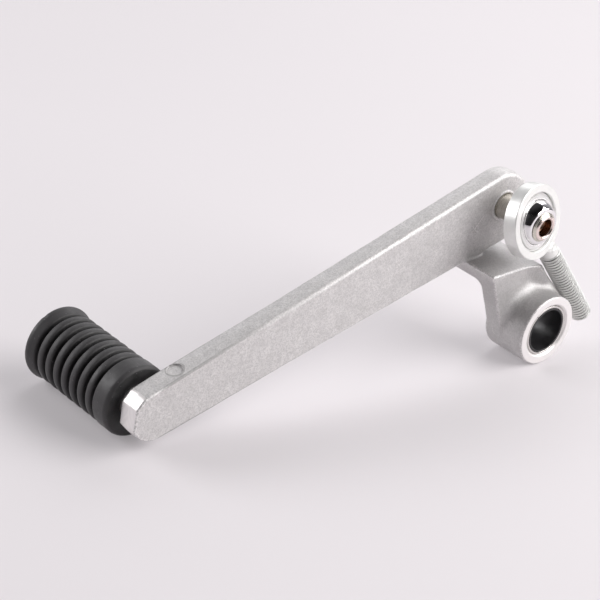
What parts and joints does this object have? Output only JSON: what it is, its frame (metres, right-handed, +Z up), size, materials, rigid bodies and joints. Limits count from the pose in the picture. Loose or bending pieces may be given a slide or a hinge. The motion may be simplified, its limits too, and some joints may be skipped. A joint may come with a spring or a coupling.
{
  "type": "gear shift lever",
  "caption": "Cast motorcycle gear shift lever with a ribbed rubber toe peg, a bushed pivot boss and a ball-jointed threaded rod end for the shift link.",
  "frame": {"origin": "under the middle of the resting lever's box, on the surface it lies on", "axes": "+X runs from the toe peg to the link end, -Y is the front, from which the pivot boss and the link stud stand out, +Z is up"},
  "size_m": [0.1484, 0.0596, 0.0514],
  "materials": {
    "cast_aluminium": "fine-grained as-cast aluminium with a machined boss face",
    "black_rubber": "matt moulded black rubber",
    "bush_steel": "plain rolled steel",
    "bush_liner": "dark low-friction lining",
    "stud_steel": "turned steel with a faint yellow passivation",
    "ball_chrome": "polished chrome bearing steel",
    "race_steel": "plain grey steel insert",
    "zinc_plate": "bright zinc-plated steel"
  },
  "bodies": {
    "lever": {"lever_arm": "cast_aluminium", "toe_peg_rubber": "black_rubber", "pivot_bush_shell": "bush_steel", "pivot_bush_liner": "bush_liner", "link_stud": "stud_steel"},
    "ball": {"rod_end_ball": "ball_chrome"},
    "rod_end": {"rod_end_race": "race_steel", "rod_end_housing": "zinc_plate"}
  },
  "joints": [
    {"name": "rod_end_swing", "type": "hinge", "parent": "lever", "child": "ball", "pos_m": [0.04889, -0.022, 0.04107], "axis": [0, -1, 0], "range_deg": [0, 270]},
    {"name": "rod_end_rock", "type": "hinge", "parent": "ball", "child": "rod_end", "pos_m": [0.04889, -0.022, 0.04107], "axis": [0.8955, 0, -0.445], "range_deg": [0, 30]}
  ]
}
